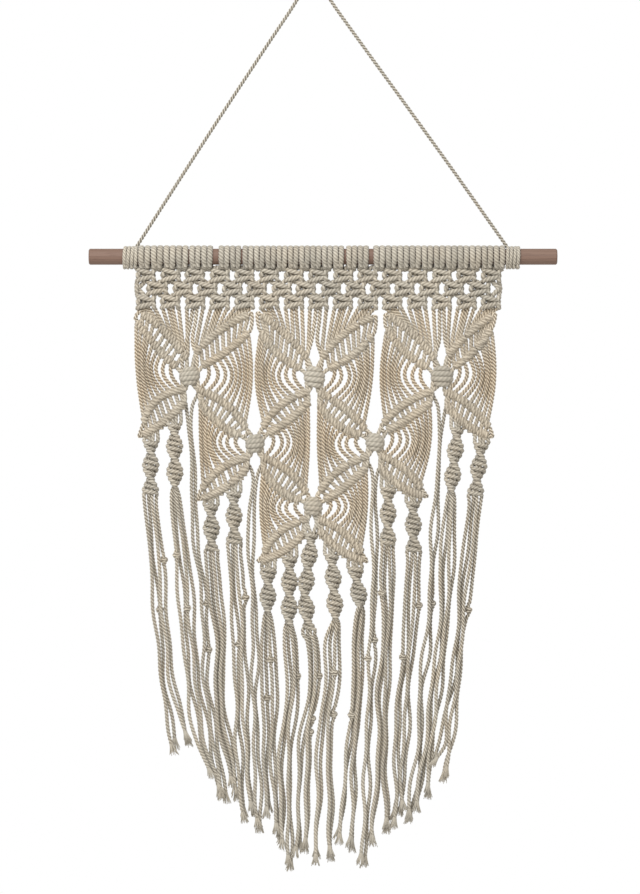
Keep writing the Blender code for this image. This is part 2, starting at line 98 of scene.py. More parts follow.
room = bpy.data.worlds.new("room")
room.use_nodes = True
room_nodes, room_links = room.node_tree.nodes, room.node_tree.links
seen = room_nodes["Background"]
seen.inputs["Color"].default_value = ROOM_SEEN_COLOUR
seen.inputs["Strength"].default_value = ROOM_SEEN
glow = room_nodes.new("ShaderNodeBackground")
glow.inputs["Color"].default_value = ROOM_LIGHT_COLOUR
glow.inputs["Strength"].default_value = ROOM_LIGHT
choice = room_nodes.new("ShaderNodeMixShader")
room_links.new(room_nodes.new("ShaderNodeLightPath").outputs["Is Camera Ray"], choice.inputs[0])
room_links.new(glow.outputs[0], choice.inputs[1])
room_links.new(seen.outputs[0], choice.inputs[2])
room_links.new(choice.outputs[0], room_nodes["World Output"].inputs["Surface"])
bpy.context.scene.world = room
bpy.context.scene.view_settings.view_transform = "Standard"

lamp = bpy.data.objects.new("lamp", bpy.data.lights.new("lamp", "AREA"))
lamp.data.size = LAMP_SIZE * MM
lamp.data.energy = LAMP_POWER
lamp.location = Vector(LAMP_PLACE) * MM
lamp_aim = Vector((CAMERA_X, 0, CAMERA_Z)) * MM - lamp.location
lamp.rotation_euler = lamp_aim.to_track_quat("-Z", "Y").to_euler()
bpy.context.collection.objects.link(lamp)


# ---- The hanging cord ----
# One length of three-ply cotton cord, the same as all the rest, wound round the rod at both
# ends and laid over a hook. Its plies are twisted to the left.
CORD = 3.0
LAY = 8.2  # the length of cord in which a ply goes once round
RING_STEP = 0.7  # from one ring of a cord's corners to the next
PLY_SIDES = 6  # a crest and a groove for each of the three plies
GROOVE_SHARE = 0.66  # how far out a groove is, of the cord's half thickness
CORD_TONES = (0.9, 1.08)  # the darkest and the lightest length of cord
# Painted shade: the hanging cord is the same cotton as the rest, darkened.
HANGER_SHADE = 0.72
# The hanging cord's middle, x and z, from its left winding over the hook to its right one.
HANGER_ROUTE = (
    (-132.5, -201.0), (-98.8, -148.4), (-66.6, -98.6), (-34.4, -49.6), (-12.6, -16.6),
    (-6.6, -5.4), (0.0, 1.5), (6.8, -5.0), (13.6, -16.6), (36.9, -49.4), (72.6, -98.6),
    (108.6, -148.6), (145.6, -201.0),
)
HANGER_EVERY = 6  # every sixth ring's middle is enough to say where the cord hangs


class Shade:
    """A socket of a material's nodes. Sums and products of shades add Math nodes."""

    def __init__(self, tree, socket=None):
        self.tree = tree
        self.socket = socket

    def node(self, kind, settings=(), sockets=(), output=0):
        """Adds a node of that kind, sets it up, and gives one of its outputs."""
        made = self.tree.nodes.new("ShaderNode" + kind)
        for name, value in dict(settings).items():
            setattr(made, name, value)
        for name, value in dict(sockets).items():
            if isinstance(value, Shade):
                self.tree.links.new(value.socket, made.inputs[name])
            else:
                made.inputs[name].default_value = value
        return Shade(self.tree, made.outputs[output])

    def sum(self, operation, first, second):
        return self.node("Math", {"operation": operation}, {0: first, 1: second})

    def __add__(self, other):
        return self.sum("ADD", self, other)

    def __sub__(self, other):
        return self.sum("SUBTRACT", self, other)

    def __mul__(self, other):
        return self.sum("MULTIPLY", self, other)

    __radd__ = __add__

    def blend(self, low, high):
        """A colour between low and high by this share."""
        return self.node("Mix", {"data_type": "RGBA"}, {0: self, 6: low, 7: high}, 2)

    def stretch(self, by):
        """These coordinates scaled by three numbers."""
        return self.node("VectorMath", {"operation": "MULTIPLY"}, {0: self, 1: by})

    def feed(self, socket):
        self.tree.links.new(self.socket, socket)


def dyed(red, green, blue):
    """A colour of a dyer's card, 0 to 255, as a shader takes it."""
    return tuple((part / 255) ** 2.2 for part in (red, green, blue)) + (1,)


# The groove colours are painted shade: darker than the crest colours, for the shade between the plies.
GROOVE_SHADE, COOL_CREST = dyed(84, 75, 63), dyed(234, 227, 211)
# The second pair is a painted bounce tint: the same cotton, warmer, as if lit by light thrown back
# between close-lying cords.
BOUNCE_LIT_GROOVE, BOUNCE_LIT_CREST = dyed(94, 73, 52), dyed(236, 219, 191)
FIBRES_ACROSS, FIBRES_ALONG = 5, 0.9  # how often the fibres change in a millimetre
PATCH_SCALE, SPECK_SCALE = 45, 420
# How far the patches change at random the painted warm bounce tint, and the fibres and specks how light
# the cord is.
PATCH_SHARE, FIBRE_SHARE, SPECK_SHARE = 0.9, 0.35, 0.2
NAP_STRENGTH, NAP_HEIGHT = 0.35, 0.0004
SHEEN, GLOSS = 0.25, 0.2


def make_cotton():
    """Unbleached cotton: pale crests with painted shade in the grooves between the plies, a painted warm
    bounce tint where a cord lies among others, fine fibres along the cord and a soft nap.
    """
    made = bpy.data.materials.new("cotton_cord")
    made.use_nodes = True
    shader = made.node_tree.nodes["Principled BSDF"]
    shader.inputs["Sheen Weight"].default_value = SHEEN
    shader.inputs["Specular IOR Level"].default_value = GLOSS
    start = Shade(made.node_tree)
    crest = start.node("Attribute", {"attribute_name": "crest"}, output="Fac")
    tone = start.node("Attribute", {"attribute_name": "tone"}, output="Fac")
    bounce_warmth = start.node("Attribute", {"attribute_name": "bounce_warmth"}, output="Fac")
    along_cord = start.node("UVMap", {"uv_map": "fibre"}, output="UV")
    place = start.node("TexCoord", output="Object")
    drawn_out = along_cord.stretch((FIBRES_ACROSS, FIBRES_ALONG, 1))
    fibres = start.node("TexNoise", (), {"Vector": drawn_out, "Scale": 1, "Detail": 3})
    patches = start.node("TexNoise", (), {"Vector": place, "Scale": PATCH_SCALE, "Detail": 2})
    specks = start.node("TexNoise", (), {"Vector": place, "Scale": SPECK_SCALE, "Detail": 2})
    # Painted shade: each cord goes from the crest colour on its plies to the darker groove colour between
    # them.
    cool = crest.blend(GROOVE_SHADE, COOL_CREST)
    # Painted bounce light: where the cords lie among others, their colours go over towards the warm,
    # bounce-lit copy.
    warm = crest.blend(BOUNCE_LIT_GROOVE, BOUNCE_LIT_CREST)
    share = bounce_warmth + (patches - 0.5) * PATCH_SHARE
    colour = share.node("Clamp", (), {"Value": share}).blend(cool, warm)
    # Each cord's own random lightness times its part's painted shade, with the fibres' and specks'
    # changes.
    light = tone + (fibres - 0.5) * FIBRE_SHARE + (specks - 0.5) * SPECK_SHARE
    shaded = start.node("VectorMath", {"operation": "SCALE"}, {0: colour, "Scale": light})
    shaded.feed(shader.inputs["Base Color"])
    (0.8 + fibres * 0.2).feed(shader.inputs["Roughness"])
    nap = {"Strength": NAP_STRENGTH, "Distance": NAP_HEIGHT, "Height": fibres + specks * 0.6}
    start.node("Bump", (), nap).feed(shader.inputs["Normal"])
    return made


cotton = make_cotton()


def smooth(points, fine=6):
    """A smooth curve through points, with fine places on each stretch. It doesn't overshoot
    where a long stretch meets a short one."""
    points = np.asarray(points, float)
    steps = np.diff(points, axis=0)
    spans = np.maximum(np.linalg.norm(steps, axis=1), 1e-3)[:, None] ** 0.5
    slopes = steps / spans
    inner = (slopes[:-1] * spans[1:] + slopes[1:] * spans[:-1]) / (spans[:-1] + spans[1:])
    slopes = np.vstack((slopes[:1], inner, slopes[-1:]))
    t = np.linspace(0, 1, fine, endpoint=False)[:, None, None]
    curve = (
        (2 * t**3 - 3 * t**2 + 1) * points[:-1]
        + (t**3 - 2 * t**2 + t) * spans * slopes[:-1]
        + (3 * t**2 - 2 * t**3) * points[1:]
        + (t**3 - t**2) * spans * slopes[1:]
    )
    return np.vstack((curve.transpose(1, 0, 2).reshape(-1, points.shape[1]), points[-1]))


def evenly(path, step):
    """Places step apart along a path, and how far along it each one is."""
    runs = np.linalg.norm(np.diff(path[:, :3], axis=0), axis=1)
    reached = np.concatenate(([0.0], np.cumsum(runs)))
    along = np.linspace(0, reached[-1], max(3, round(reached[-1] / step) + 1))
    return np.column_stack([np.interp(along, reached, column) for column in path.T]), along


def across(path):
    """Two directions square to a path at each of its places, which never spin about it."""
    ahead = np.gradient(path, axis=0)
    ahead /= np.linalg.norm(ahead, axis=1)[:, None]
    aside = np.cross(ahead[0], (0.3, 1.0, 0.2))  # any direction that no cord starts along
    asides = []
    for direction in ahead:
        aside = aside - direction * aside.dot(direction)
        aside = aside / math.sqrt(aside.dot(aside))
        asides.append(aside)
    asides = np.array(asides)
    return asides, np.cross(ahead, asides)


class Cords:
    """Cords laid down one by one, to be made into one piece of the hanging."""

    def __init__(self, seed):
        self.chance = np.random.default_rng(seed)
        self.points, self.faces, self.fibre = [], [], []
        self.crest, self.tone, self.bounce_warmth = [], [], []
        self.count = 0

    def tube(self, path, along, half_thickness, relief, crest, turns, tone, bounce_warmth):
        """A closed tube with one corner for each number in relief and in crest."""
        sides = relief.shape[-1]
        first, second = across(path)
        angle = turns[:, None] + np.arange(sides) * 2 * math.pi / sides
        out = np.broadcast_to(half_thickness, (len(path),))[:, None] * relief
        ring = path[:, None] + (out * np.cos(angle))[..., None] * first[:, None]
        ring = ring + (out * np.sin(angle))[..., None] * second[:, None]
        self.points.append(ring.reshape(-1, 3))

        start = self.count + np.arange(len(path) - 1)[:, None] * sides
        corner = np.arange(sides)
        after = (corner + 1) % sides
        skin = np.stack(
            (start + corner, start + after, start + sides + after, start + sides + corner), axis=2
        ).reshape(-1, 4)
        middle = np.arange(1, sides - 2, 2)
        cap = np.stack((middle * 0, middle, middle + 1, middle + 2), axis=1)
        last = self.count + (len(path) - 1) * sides
        self.faces += [skin, self.count + cap[:, ::-1], last + cap]

        round_it = np.max(half_thickness) * 2 * math.pi / sides
        u = np.stack((corner, corner + 1, corner + 1, corner), axis=1) * round_it
        u = np.broadcast_to(u, (len(path) - 1, sides, 4))
        v = np.stack((along[:-1], along[:-1], along[1:], along[1:]), axis=1)[:, None]
        v = np.broadcast_to(v, u.shape)
        self.fibre.append(np.stack((u, v), axis=3).reshape(-1, 2))
        self.fibre.append(np.zeros((len(cap) * 8, 2)))
        count = len(path) * sides
        self.crest.append(np.broadcast_to(crest, (len(path), sides)).ravel())
        self.tone.append(np.full(count, tone))
        self.bounce_warmth.append(np.broadcast_to(bounce_warmth, (len(path), sides)).ravel())
        self.count += count

    def lay(self, path, thickness=CORD, bounce_warmth=0.0, shade=1.0, bold=1.0):
        """One twisted cord along a path. bold, or the path's fourth column, is how clearly the plies
        show, which is less where the cord is pulled tight; it weakens the painted groove shade and the
        painted warm bounce tint there too. The shade given is painted shade: it darkens the whole cord,
        part by part of the hanging."""
        path, along = evenly(np.asarray(path, float), RING_STEP)
        if path.shape[1] == 4:
            bold = path[:, 3:]
        crest = 1.0 - np.arange(PLY_SIDES) % 2
        relief = 1 - (1 - GROOVE_SHARE) * (1 - crest) * bold
        crest = 0.5 + (crest - 0.5) * bold
        turns = self.chance.uniform(0, 2 * math.pi) - 2 * math.pi * along / LAY
        # Each cord's own random lightness, times the painted shade of its part.
        tone = shade * self.chance.uniform(*CORD_TONES)
        self.tube(path[:, :3], along, thickness / 2, relief, crest, turns, tone, bounce_warmth * bold)
        return path[:, :3]

    def make(self, name, *nodes):
        """The piece itself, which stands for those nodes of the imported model."""
        mesh = bpy.data.meshes.new(name)
        mesh.from_pydata(np.vstack(self.points) * MM, [], np.vstack(self.faces))
        fibre = mesh.uv_layers.new(name="fibre")
        fibre.data.foreach_set("uv", np.vstack(self.fibre).astype(np.float32).ravel())
        for title, values in (("crest", self.crest), ("tone", self.tone), ("bounce_warmth", self.bounce_warmth)):
            attribute = mesh.attributes.new(title, "FLOAT", "POINT")
            attribute.data.foreach_set("value", np.concatenate(values).astype(np.float32))
        mesh.materials.append(cotton)
        mesh.shade_smooth()
        made = bpy.data.objects.new(name, mesh)
        bpy.context.collection.objects.link(made)
        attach(made, "root")
        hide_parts(*nodes)
        return made


hanger_cord = Cords(seed=1)
hanger_route = smooth([(x, 0, z) for x, z in HANGER_ROUTE])
hanger_path = hanger_cord.lay(hanger_route, shade=HANGER_SHADE)
hanging_cord = hanger_cord.make("hanging_cord", "hanger")
hanger_length = np.linalg.norm(np.diff(hanger_path, axis=0), axis=1).sum()
tuple(hanger_path[0] * MM)
round(hanger_length * MM, 3)
[tuple(point * MM) for point in (*hanger_path[::HANGER_EVERY], hanger_path[-1])]


# ---- The rod ----
# A plain wooden dowel with its edges broken. It is bare, pinkish brown wood with a fine grain
# along it.
GRAIN_SCALE, STREAKS_SCALE, PORES_SCALE = (18, 900, 900), (9, 160, 160), (90, 2400, 2400)
GRAIN_DARK, GRAIN_PALE = dyed(88, 68, 57), dyed(142, 118, 104)
STREAK_COLOUR, PORE_COLOUR = dyed(116, 86, 73), dyed(84, 56, 46)
STREAK_SHARE, PORE_SHARE = 0.6, 0.5
PORE_START, PORE_SLOPE = 0.62, 6  # a pore is where its noise rises past this, and how sharply


def make_wood():
    """Bare wood: fine grain, broad streaks of another colour, and small dark pores."""
    made = bpy.data.materials.new("rod_wood")
    made.use_nodes = True
    shader = made.node_tree.nodes["Principled BSDF"]
    start = Shade(made.node_tree)
    place = start.node("TexCoord", output="Object")
    grain, streaks, pores = (
        start.node("TexNoise", (), {"Vector": place.stretch(scale), "Scale": 1, "Detail": detail})
        for scale, detail in ((GRAIN_SCALE, 5), (STREAKS_SCALE, 2), (PORES_SCALE, 1))
    )
    pore = (pores - PORE_START) * PORE_SLOPE
    pore = pore.node("Clamp", (), {"Value": pore})
    tint = grain.blend(GRAIN_DARK, GRAIN_PALE)
    tint = (streaks * STREAK_SHARE).blend(tint, STREAK_COLOUR)
    (pore * PORE_SHARE).blend(tint, PORE_COLOUR).feed(shader.inputs["Base Color"])
    (0.5 + grain * 0.25).feed(shader.inputs["Roughness"])
    relief = {"Strength": 0.3, "Distance": 0.0003, "Height": grain - pore}
    start.node("Bump", (), relief).feed(shader.inputs["Normal"])
    return made


rod_wood = make_wood()
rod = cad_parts["rod"]
for slot in rod.material_slots:
    slot.material = rod_wood
rod_low, rod_high = (np.array(corner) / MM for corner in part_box("rod"))
ROD_RADIUS = (rod_high[2] - rod_low[2]) / 2
ROD_Z = (rod_high[2] + rod_low[2]) / 2


# ---- The heading ----
# Thirty cords, each folded in half over the rod in a lark's head with its bar behind, so that
# two flattened turns show in front. The hanging cord is wound on beside them at both ends.
BAND_TOP = -217.3  # where the heading ends and the band's first row starts
TIGHT = 0.5  # how clearly the plies show where a cord is pulled tight in a knot
TURN_THICKNESS = 4.55
TURN_FLATTENING = 0.57
TURN_WIDTHS = (1.0, 1.06)  # how wide a turn is, as a share of its room on the rod
TURN_STEPS = 20  # places in a whole turn, of which the last two are left out
# The bar of each lark's head lies behind the two turns' lower ends.
BAR_Y, BAR_Z, BAR_THICKNESS = 2.2, -215.2, 4.2
PINCH = 0.8  # how far the two turns of a folded cord lean together below the rod
PINCH_END, LEAN_START = 0.2, 0.55  # the parts of a turn where they do so, and lean behind
EXIT_Y = 0.5  # where the strands hang as they leave the heading
PRESSED_ABOVE = 1.2  # how far above the band the turns are pressed on the rod
ROD_GAP = 0.05
# Each run of folded cords: where it starts and ends, and how many there are. The wood shows
# between the runs.
HEADING_RUNS = (
    (-131.0, -93.2, 4),
    (-92.7, -74.9, 2),
    (-70.7, -53.8, 2),
    (-52.8, 23.3, 9),
    (24.8, 41.8, 2),
    (45.2, 144.0, 11),
)
END_TURNS = ((-142.6, -131.0, 4), (144.2, 155.2, 4))
END_TURN_WIDTH = 1.02  # of its pitch
ROUND_STEPS = 16  # places in one turn of a wound cord


def round_rod(x, turn, radius):
    """A place round the rod: turn 0 is below it, a quarter is in front and a half on top."""
    return (x, -radius * math.sin(2 * math.pi * turn), ROD_Z - radius * math.cos(2 * math.pi * turn))


def press_on_rod(points):
    """Pulls the turns flat against the wood, which makes them wider than they are thick."""
    out = np.hypot(points[:, 1], points[:, 2] - ROD_Z)
    flat = ROD_RADIUS + ROD_GAP + (out - ROD_RADIUS) * TURN_FLATTENING
    share = np.where(points[:, 2] > BAND_TOP + PRESSED_ABOVE, flat / np.maximum(out, 1), 1)
    points[:, 1] *= share
    points[:, 2] = ROD_Z + (points[:, 2] - ROD_Z) * share


heading = Cords(seed=2)
turn_radius = ROD_RADIUS + TURN_THICKNESS / 2
heading_exits = []
for run_start, run_end, folded in HEADING_RUNS:
    turn_width = (run_end - run_start) / folded / 2
    for bar in range(folded):
        middle_x = run_start + (2 * bar + 1) * turn_width
        route = [(middle_x + end * turn_width, BAR_Y, BAR_Z) for end in (-1, 1)]
        # The bars behind the turns get painted shade and a painted warm bounce tint.
        heading.lay(route, BAR_THICKNESS, bounce_warmth=0.3, shade=0.85, bold=TIGHT)
    for turn in range(2 * folded):
        inward = 1 if turn % 2 == 0 else -1
        x = run_start + (turn + 0.5) * turn_width
        exit_x = x + inward * PINCH
        route = [(exit_x, EXIT_Y, BAND_TOP - PINCH)]
        for step in range(1, TURN_STEPS - 1):
            share = step / TURN_STEPS
            below = PINCH * max(0.0, 1 - share / PINCH_END)
            behind = turn_width / 2 * max(0.0, share - LEAN_START) / (1 - LEAN_START)
            route.append(round_rod(x + inward * (below + behind), share, turn_radius))
        width = turn_width * heading.chance.uniform(*TURN_WIDTHS)
        # The turns get painted shade and a little painted warm bounce tint.
        heading.lay(smooth(route, 3), width, bounce_warmth=0.15, shade=0.9, bold=TIGHT)
        heading_exits.append(exit_x)
for run_start, run_end, turns in END_TURNS:
    pitch = (run_end - run_start) / turns
    route = []
    for step in range(ROUND_STEPS * turns + 1):
        turn = step / ROUND_STEPS
        moved = min(max(turn + 0.25, 0.5), turns - 0.5)  # so that no turn in front is cut off
        route.append(round_rod(run_start + pitch * moved, turn, turn_radius))
    # Painted shade on the end turns.
    heading.lay(route, pitch * END_TURN_WIDTH, shade=0.92, bold=TIGHT)
for points in heading.points:
    press_on_rod(points)
heading.make("heading_turns", "heading")


# ---- The knotted band ----
# Three rows of square knots. Each knot takes four strands: the outer two are worked round the
# inner two, and each row's knots take two strands from each of the two knots above.
STRANDS = 60
BAND_BOTTOM = -247.3
BAND_ROWS = 3
ROW_PITCH = (BAND_TOP - BAND_BOTTOM) / BAND_ROWS
FIRST_KNOT_X = -125.5
KNOT_PITCH = 18.5
KNOT_HALF_WIDTH, KNOT_HALF_DEPTH, KNOT_HALF_HEIGHT = 6.2, 3.3, 5.0
KNOT_CORD = 3.9
EDGE_STRANDS = (-132.2, -130.8, 138.8, 140.4)  # where the plain strands at the edges hang
EDGE_LANE = 1.3  # and how far before or behind the middle each of the two is
EDGE_KNOT_WIDE, EDGE_KNOT_OUT = 1.1, 0.7  # the middle row's end knots are wider and further out
KNOT_SLACK = 0.3  # how far a knot may be out of its place
START_RISE = 1.5  # how far a strand starts inside what it leaves
# One square knot, tied to a half width, half height and half depth of 1: the strand that
# crosses in front, the one that is worked behind, and the two straight ones inside.
FRONT_WORKER = (
    (-1.0, 0.0, 1.0), (-0.95, -0.33, 0.84), (-0.5, -0.87, 0.66), (0.0, -1.0, 0.48),
    (0.5, -0.87, 0.34), (0.9, -0.26, 0.22), (0.99, 0.22, 0.0), (0.9, -0.26, -0.22),
    (0.5, -0.87, -0.34), (0.0, -1.0, -0.48), (-0.5, -0.87, -0.66), (-0.95, -0.33, -0.84),
    (-1.0, 0.0, -1.0),
)
BACK_WORKER = (
    (1.0, 0.0, 1.0), (0.96, -0.65, 0.58), (0.78, -0.43, 0.27), (0.5, 0.65, 0.33),
    (0.0, 0.87, 0.36), (-0.5, 0.65, 0.4), (-0.86, -0.33, 0.29), (-0.97, -0.78, 0.0),
    (-0.86, -0.33, -0.29), (-0.5, 0.65, -0.4), (0.0, 0.87, -0.36), (0.5, 0.65, -0.33),
    (0.78, -0.43, -0.27), (0.96, -0.65, -0.58), (1.0, 0.0, -1.0),
)
LEFT_FILLER = ((-0.24, 0.0, 1.0), (-0.24, 0.0, 0.0), (-0.24, 0.0, -1.0))
RIGHT_FILLER = ((0.24, 0.0, 1.0), (0.24, 0.0, 0.0), (0.24, 0.0, -1.0))
SQUARE_KNOT = (FRONT_WORKER, LEFT_FILLER, RIGHT_FILLER, BACK_WORKER)


def tied(place, middle, size):
    """The points of one strand of a square knot of that half size about its middle."""
    return [tuple(m + s * p for m, s, p in zip(middle, size, point)) for point in place]


def band_knot_x(knot, row):
    """The middle of a knot of the band."""
    return FIRST_KNOT_X + KNOT_PITCH * (knot + (0.5 if row == 1 else 0))


def band_exit(strand):
    """Where a strand leaves the band."""
    knot, place = divmod(strand, 4)
    return band_knot_x(knot, BAND_ROWS - 1) + SQUARE_KNOT[place][-1][0] * KNOT_HALF_WIDTH


band = Cords(seed=3)
for strand in range(STRANDS):
    route = [(heading_exits[strand], EXIT_Y, BAND_TOP + START_RISE)]
    for row in range(BAND_ROWS):
        row_z = BAND_TOP - (row + 0.5) * ROW_PITCH
        if row == 1 and not 2 <= strand < STRANDS - 2:
            x = EDGE_STRANDS[strand if strand < 2 else strand - STRANDS]
            route.append((x, EDGE_LANE if strand % 2 else -EDGE_LANE, row_z))
            continue
        knot, place = divmod(strand - (2 if row == 1 else 0), 4)
        at_edge = row == 1 and knot in (0, STRANDS // 4 - 2)
        wide = EDGE_KNOT_WIDE if at_edge else 1.0
        outward = (-EDGE_KNOT_OUT if knot == 0 else EDGE_KNOT_OUT) if at_edge else 0
        shift = band.chance.uniform(-KNOT_SLACK, KNOT_SLACK, 3)
        middle = (band_knot_x(knot, row) + shift[0] + outward, shift[1], row_z + shift[2])
        size = (KNOT_HALF_WIDTH * wide, KNOT_HALF_DEPTH, KNOT_HALF_HEIGHT)
        route += tied(SQUARE_KNOT[place], middle, size)
    # Painted shade and a painted warm bounce tint on the band.
    band.lay(smooth(route, 4), KNOT_CORD, bounce_warmth=0.3, shade=0.9, bold=TIGHT)
band.make("knotted_band", "knot_band")


# ---- The flowers ----
# Three flowers over two over one. Each is a big square knot with four leaves about it. A leaf is
# two rows of double half hitches: nine cords, each knotted twice round a core cord that goes
# out along one row and comes back along the other.
Flower = namedtuple("Flower", "name x z half_width half_height")
FLOWERS = (
    Flower("centre_knot_1", -92.6, -297.8, 7.6, 6.2),
    Flower("centre_knot_2", 1.0, -298.5, 7.8, 7.2),
    Flower("centre_knot_3", 96.8, -298.1, 8.4, 7.2),
    Flower("centre_knot_4", -43.5, -348.4, 7.0, 6.2),
    Flower("centre_knot_5", 46.5, -347.4, 7.0, 6.0),
    Flower("centre_knot_6", 0.0, -395.2, 7.0, 6.2),
)
TOP_FLOWERS = 3
# A row runs from its root at a centre knot to its tip, and rises from that straight line by
# rise at its middle.
Row = namedtuple("Row", "root_x root_z tip_x tip_z rise")
LEAVES = {
    "leaf_1_upper_left": (Row(-95, -284.5, -127.5, -251, 2.2), Row(-103, -290.5, -131.5, -257, -1.5)),
    "leaf_1_upper_right": (Row(-87.5, -280, -49, -252, 2.7), Row(-82.5, -290, -49, -265.5, -1.6)),
    "leaf_2_upper_left": (Row(-4.5, -284, -39, -252, 1.8), Row(-9.5, -292.5, -39, -264.5, -3.2)),
    "leaf_2_upper_right": (Row(7.5, -283.5, 44, -254, 3.5), Row(11.5, -292.5, 44, -268, -2.7)),
    "leaf_3_upper_left": (Row(91, -284.5, 57, -253, 2.4), Row(86, -291.5, 56, -263, -3.0)),
    "leaf_3_upper_right": (Row(101, -283, 134, -253, 1.8), Row(106, -291, 133, -263.5, -2.1)),
    "leaf_1_lower_left": (Row(-96, -308, -127, -332.5, 6.8), Row(-96, -316.5, -127.5, -342, -2.0)),
    "leaf_1_lower_right": (Row(-86.5, -308, -50.5, -336.5, 4.4), Row(-84.5, -316.5, -54.5, -342.5, -3.4)),
    "leaf_2_lower_left": (Row(-3.5, -309.5, -37.5, -336, 4.6), Row(-3.5, -317.5, -33.5, -340.5, -1.6)),
    "leaf_2_lower_right": (Row(4.5, -310, 39, -337.5, 2.6), Row(4.5, -318.5, 36, -342, -4.2)),
    "leaf_3_lower_left": (Row(89, -309, 53, -333, 3.0), Row(88, -317.5, 56, -338.5, -1.2)),
    "leaf_3_lower_right": (Row(99, -309.5, 131.5, -335.5, 3.3), Row(100, -319.5, 131.5, -342.5, -3.0)),
    "leaf_4_lower_left": (Row(-48, -358.5, -83, -382, 4.4), Row(-49.5, -366, -83, -389.5, -3.2)),
    "leaf_4_lower_right": (Row(-38.5, -358.5, -5, -385, 3.9), Row(-37.5, -367.5, -9.5, -391, -3.8)),
    "leaf_5_lower_left": (Row(41, -358, 5, -384.5, 4.2), Row(40, -366, 9.5, -390.5, -1.4)),
    "leaf_5_lower_right": (Row(50.5, -357.5, 81, -381.5, 3.3), Row(50.5, -365.5, 82.5, -387.5, -3.7)),
    "leaf_6_lower_left": (Row(-5, -405.5, -37, -430.5, 5.0), Row(-5.5, -413.5, -38.5, -436, -3.4)),
    "leaf_6_lower_right": (Row(5, -405.5, 36.5, -430.5, 3.6), Row(5, -413.5, 37.5, -436, -3.4)),
}
# For each flower, on its left and on its right: the leaf above, whether that leaf's tip is here
# and not its root, the leaf below, and how far the nearest and the furthest bare cord between
# them bow away from the knot.
Side = namedtuple("Side", "upper turned lower inner_bow outer_bow")
SIDES = (
    (Side("leaf_1_upper_left", False, "leaf_1_lower_left", 5.5, 1.5),
     Side("leaf_1_upper_right", False, "leaf_1_lower_right", 6.0, 3.0)),
    (Side("leaf_2_upper_left", False, "leaf_2_lower_left", 6.0, 4.0),
     Side("leaf_2_upper_right", False, "leaf_2_lower_right", 6.0, 1.5)),
    (Side("leaf_3_upper_left", False, "leaf_3_lower_left", 6.0, 3.0),
     Side("leaf_3_upper_right", False, "leaf_3_lower_right", 6.0, 3.2)),
    (Side("leaf_1_lower_right", True, "leaf_4_lower_left", 6.0, 0.0),
     Side("leaf_2_lower_left", True, "leaf_4_lower_right", 6.0, 0.5)),
    (Side("leaf_2_lower_right", True, "leaf_5_lower_left", 6.0, 0.5),
     Side("leaf_3_lower_left", True, "leaf_5_lower_right", 6.0, 3.0)),
    (Side("leaf_4_lower_right", True, "leaf_6_lower_left", 6.0, 1.5),
     Side("leaf_5_lower_left", True, "leaf_6_lower_right", 6.0, 1.5)),
)
LEAF_CORD = 3.45
LEAF_CORDS = 9
HALF_STRANDS = 10  # on either side of a flower: the cords of a leaf and one of its core
UNEVEN = 0.016  # how unevenly the cords are spaced along a row, as a share of it
HITCH_RADIUS = 1.8  # from the middle of a core cord to the middle of a cord knotted round it
HITCH_SLACK = (0.93, 1.08)  # how tightly and how loosely a hitch may sit
HITCH_STEPS = 12
CORE_PLACES = 8  # places on a core cord in each row
TIP_OUT, TIP_Y = 3.0, -0.5  # where the core cord turns back, past the tips of its rows
# Where the bare cords between two leaves bow: at these shares from the knot outwards, by these
# parts of inner_bow and at last by outer_bow.
BOW_PLACES, BOW_PARTS = (0.05, 0.17, 0.35, 1.0), (0.5, 0.95, 1.3)
BARE_PLACES = (0.18, 0.38, 0.62, 0.82)  # the places along a bare cord that its route names
BARE_DEPTH, BARE_SLACK = 0.8, 0.3  # how far these lie before or behind the middle, by turns
LEAF_END = 2.5  # how far a cord goes on below the leaf
# The centre knot, wound round the ends of the core cords.
CENTRE_WRAPS, CENTRE_CORD = 4, 4.7
CENTRE_HALF_DEPTH = 5.5
CENTRE_INSET = (1.6, 1.2, 2.4)  # from its outside to the wound cord's middle: aside, before, above
CENTRE_TAPER = 0.34  # how much narrower it is at its top and foot
CENTRE_SLANT = 0.9  # how far its wraps may slope
SMOOTH = 0.3  # how clearly the plies show in a centre knot
NEAR_SHARES = (0.0, 0.14)  # the part of a row next to a centre knot
UPPER_RISE, LOWER_RISE = 0.75, 0.3  # how high in the knot the two rows' core cords go in
# How far from the flower's middle they do so: the upper rows', the lower rows' short of the
# knot's side, and the furthest of both inside the knot.
CORE_APART, CORE_SIDE_INSET, CORE_APART_INSIDE = 2.0, 2.2, 3.0
# An inner strand's way from the band into the knot: how far aside of the flower's middle, and
# how far below the band or above the knot's middle.
INNER_BELOW_BAND, INNER_ASIDE = (9.0, 24.0), 2.2
INNER_OVER_KNOT, INNER_INTO_KNOT, INNER_IN_KNOT = (5.6, 7.0), (4.6, 0.6), 2.6


def on_row(row, t):
    """The place a share t along a row, and the directions along and up across it."""
    chord = np.array((row.tip_x - row.root_x, row.tip_z - row.root_z))
    up = np.array((-chord[1], chord[0])) / np.linalg.norm(chord)
    up = up if up[1] > 0 else -up
    place = np.array((row.root_x, row.root_z)) + chord * t + up * 4 * row.rise * t * (1 - t)
    slope = chord + up * 4 * row.rise * (1 - 2 * t)
    return place, slope / np.linalg.norm(slope), up


def hitched(row, t, loose):
    """A cord's two turns in front of a row's core, from above the row to below it."""
    place, along, up = on_row(row, t)
    width = math.hypot(row.tip_x - row.root_x, row.tip_z - row.root_z) / (2 * LEAF_CORDS)
    route = []
    for step in range(HITCH_STEPS + 1):
        turn = 3 * math.pi * step / HITCH_STEPS
        behind = min(1.0, max(0.0, turn / math.pi - 1))  # it moves on along the row only behind it
        there = place + up * math.cos(turn) * HITCH_RADIUS * loose
        there = there + along * width * (behind - 0.5)
        route.append((there[0], -math.sin(turn) * HITCH_RADIUS * loose, there[1], TIGHT))
    return route


